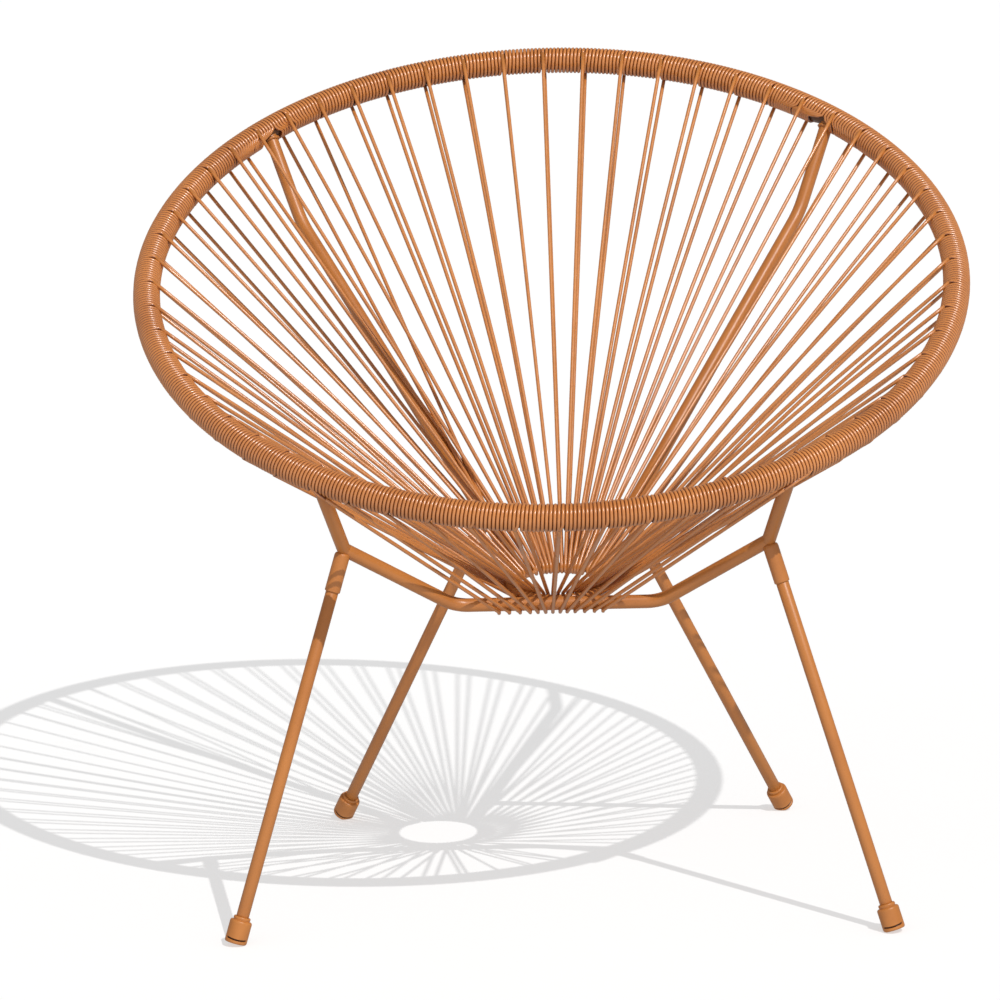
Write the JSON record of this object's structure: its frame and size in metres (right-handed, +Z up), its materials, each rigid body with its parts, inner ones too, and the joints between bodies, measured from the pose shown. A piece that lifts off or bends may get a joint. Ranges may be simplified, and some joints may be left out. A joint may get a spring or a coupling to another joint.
{
  "type": "acapulco chair",
  "caption": "Round outdoor lounge chair: a tilted steel rim and a small lower ring strung with taut round plastic cord, on splayed tubular legs.",
  "frame": {"origin": "on the floor, below the centre of the chair's bounding box", "axes": "+X along the rim's widest line, to the right when the chair is seen from its front; +Y from the front lip to the back; +Z up"},
  "size_m": [0.8014, 0.73, 0.7501],
  "materials": {
    "cord": "glossy round PVC cord, terracotta",
    "frame": "satin powder coat, terracotta",
    "foot_cap": "moulded satin plastic, terracotta",
    "fixing": "zinc plated"
  },
  "bodies": {
    "root": {"rim_ring": "frame", "lower_ring": "frame", "front_support": "frame", "back_support_right": "frame", "back_support_left": "frame", "leg_socket_front_right": "frame", "socket_nut_front_right": "fixing", "leg_stud_front_right": "fixing", "leg_front_right": "frame", "foot_cap_front_right": "foot_cap", "leg_socket_front_left": "frame", "socket_nut_front_left": "fixing", "leg_stud_front_left": "fixing", "leg_front_left": "frame", "foot_cap_front_left": "foot_cap", "leg_socket_back_right": "frame", "socket_nut_back_right": "fixing", "leg_stud_back_right": "fixing", "leg_back_right": "frame", "foot_cap_back_right": "foot_cap", "leg_socket_back_left": "frame", "socket_nut_back_left": "fixing", "leg_stud_back_left": "fixing", "leg_back_left": "frame", "foot_cap_back_left": "foot_cap", "rim_winding_back": "cord", "rim_winding_right": "cord", "rim_winding_front": "cord", "rim_winding_left": "cord", "seat_cord_back_left": "cord", "seat_cord_back_middle": "cord", "seat_cord_back_right": "cord", "seat_cord_right_rear": "cord", "seat_cord_right_middle": "cord", "seat_cord_right_front": "cord", "seat_cord_front_right": "cord", "seat_cord_front_middle": "cord", "seat_cord_front_left": "cord", "seat_cord_left_front": "cord", "seat_cord_left_middle": "cord", "seat_cord_left_rear": "cord"}
  },
  "joints": []
}
